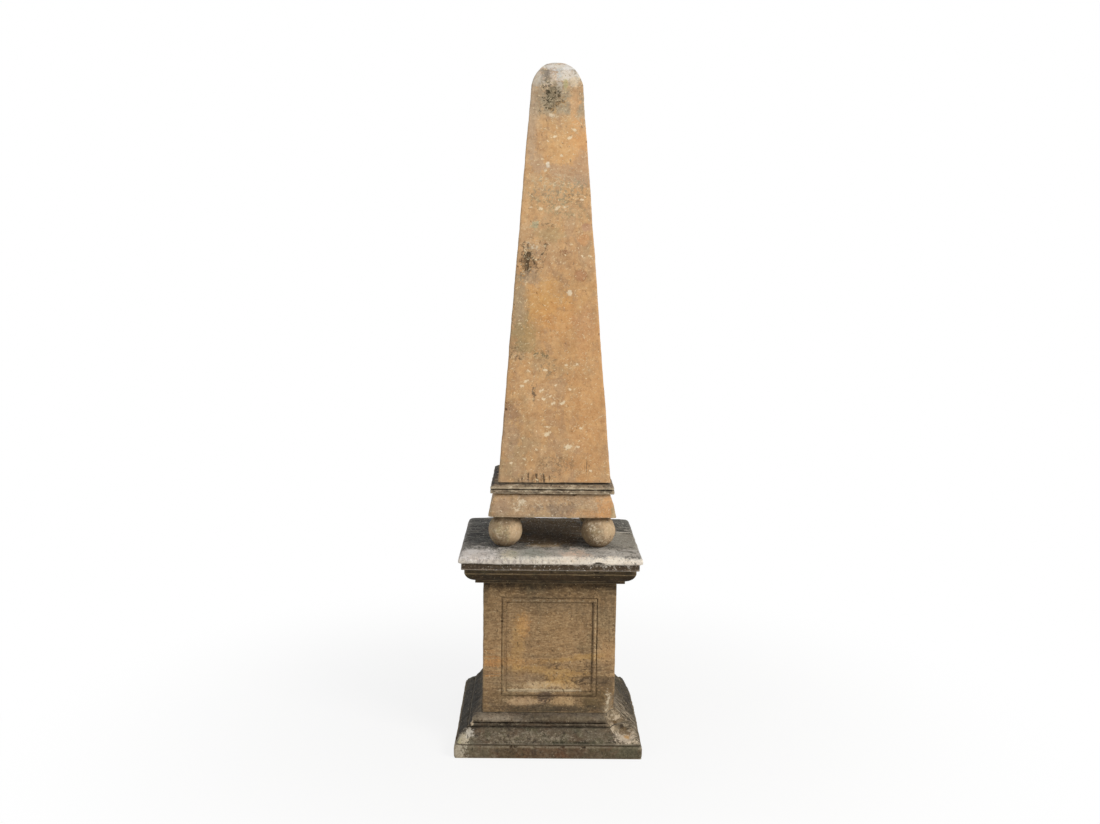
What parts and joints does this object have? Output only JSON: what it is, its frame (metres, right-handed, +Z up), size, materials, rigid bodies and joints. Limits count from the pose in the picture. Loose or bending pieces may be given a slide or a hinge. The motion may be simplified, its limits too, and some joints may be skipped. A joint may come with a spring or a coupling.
{
  "type": "garden obelisk on a panelled pedestal",
  "caption": "Tapered square stone obelisk with a domed head, on ball feet, over a square pedestal with sunk panels, a moulded base and a moulded capping.",
  "frame": {"origin": "centre of the underside of the plinth course, at ground level", "axes": "+Z up along the obelisk, -Y towards the front face"},
  "size_m": [0.61, 0.61, 2.2454],
  "materials": {
    "sandstone_pedestal": "weathered, matt, water stained",
    "sandstone_base": "weathered, matt, algae stained",
    "sandstone_capping": "weathered, matt, lichen grey",
    "sandstone_obelisk": "weathered, matt, warm ochre",
    "lime_mortar": "matt, raked",
    "wrought_iron": "plain"
  },
  "bodies": {
    "root": {"plinth_course": "sandstone_base", "raking_course": "sandstone_base", "base_moulding": "sandstone_base", "die": "sandstone_pedestal", "bed_moulding": "sandstone_pedestal", "capping_slab": "sandstone_capping", "obelisk_block": "sandstone_obelisk", "band": "sandstone_obelisk", "shaft": "sandstone_obelisk", "spindle": "wrought_iron", "ball_front_left": "sandstone_obelisk", "dowel_front_left": "wrought_iron", "ball_front_right": "sandstone_obelisk", "dowel_front_right": "wrought_iron", "ball_back_left": "sandstone_obelisk", "dowel_back_left": "wrought_iron", "ball_back_right": "sandstone_obelisk", "dowel_back_right": "wrought_iron", "bed_under_rake": "lime_mortar", "bed_under_base": "lime_mortar", "bed_under_die": "lime_mortar", "bed_under_cornice": "lime_mortar", "bed_under_capping": "lime_mortar", "bed_under_band": "lime_mortar", "bed_under_shaft": "lime_mortar"}
  },
  "joints": []
}
